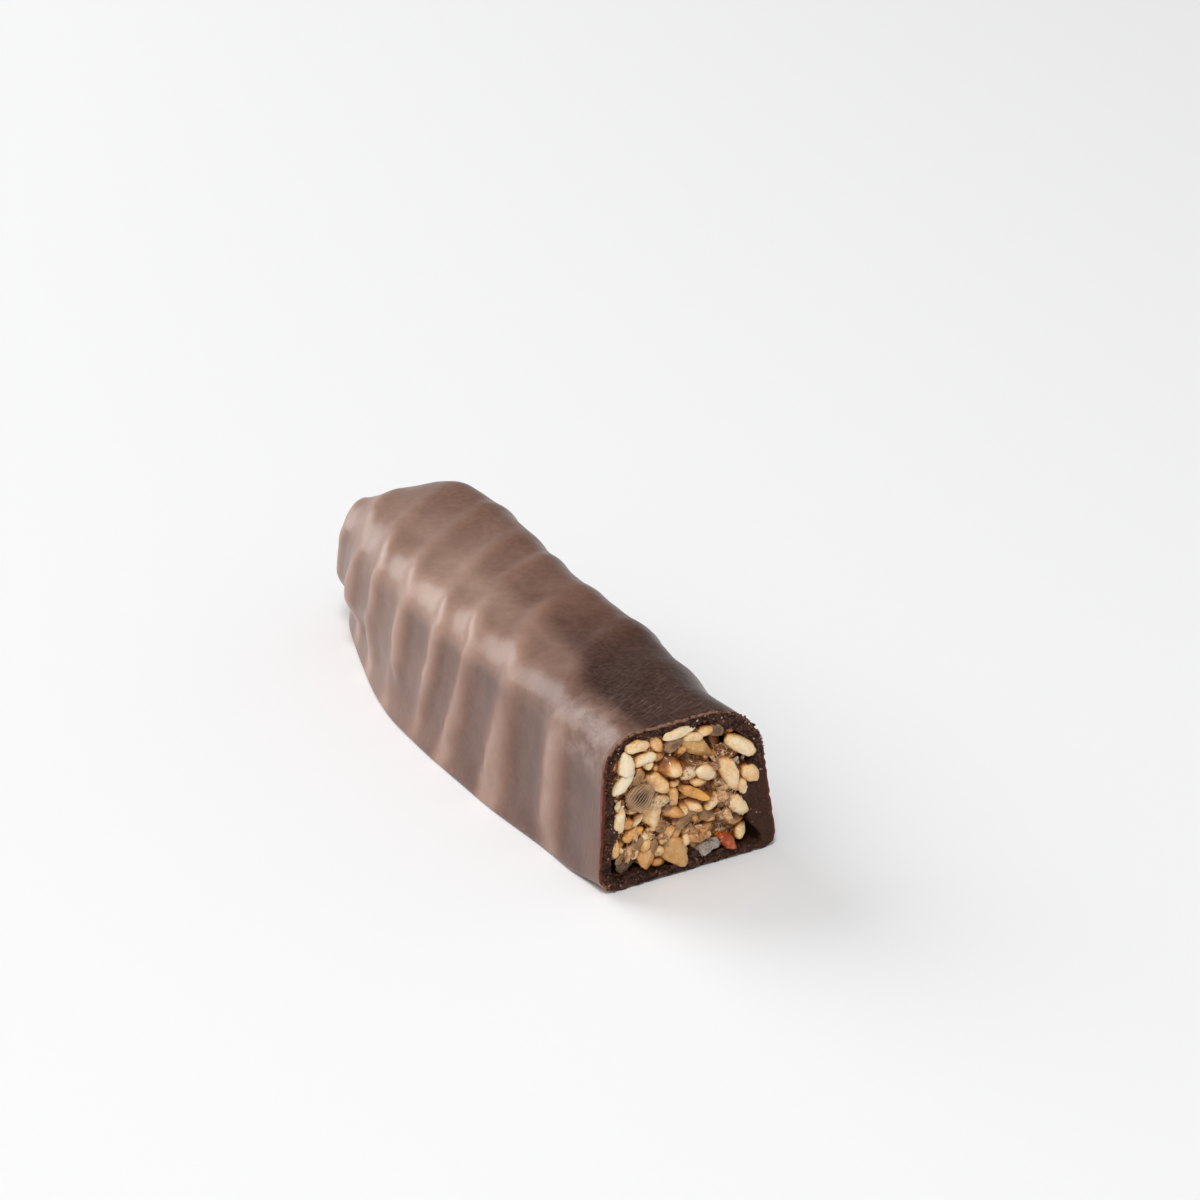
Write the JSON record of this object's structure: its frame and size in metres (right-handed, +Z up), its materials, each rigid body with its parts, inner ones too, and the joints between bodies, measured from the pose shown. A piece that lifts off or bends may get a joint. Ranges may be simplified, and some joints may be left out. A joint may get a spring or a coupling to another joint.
{
  "type": "half chocolate coated sesame bar",
  "caption": "Half of a sesame seed bar in a ridged dark chocolate coating, cut across to show the packed seeds, with a rounded far end.",
  "frame": {"origin": "middle of the footprint's box, on the surface that the bar lies on", "axes": "+Y from the cut face to the round end, +X to the right of the cut face as seen from in front of it, +Z up"},
  "size_m": [0.0201, 0.0611, 0.0154],
  "materials": {
    "dark_chocolate": "satin dark chocolate, dull and fine grained where it is cut",
    "sesame": "hulled sesame seeds in a thin clear syrup"
  },
  "bodies": {
    "root": {"chocolate_coating": "dark_chocolate", "sesame_filling": "sesame"}
  },
  "joints": []
}
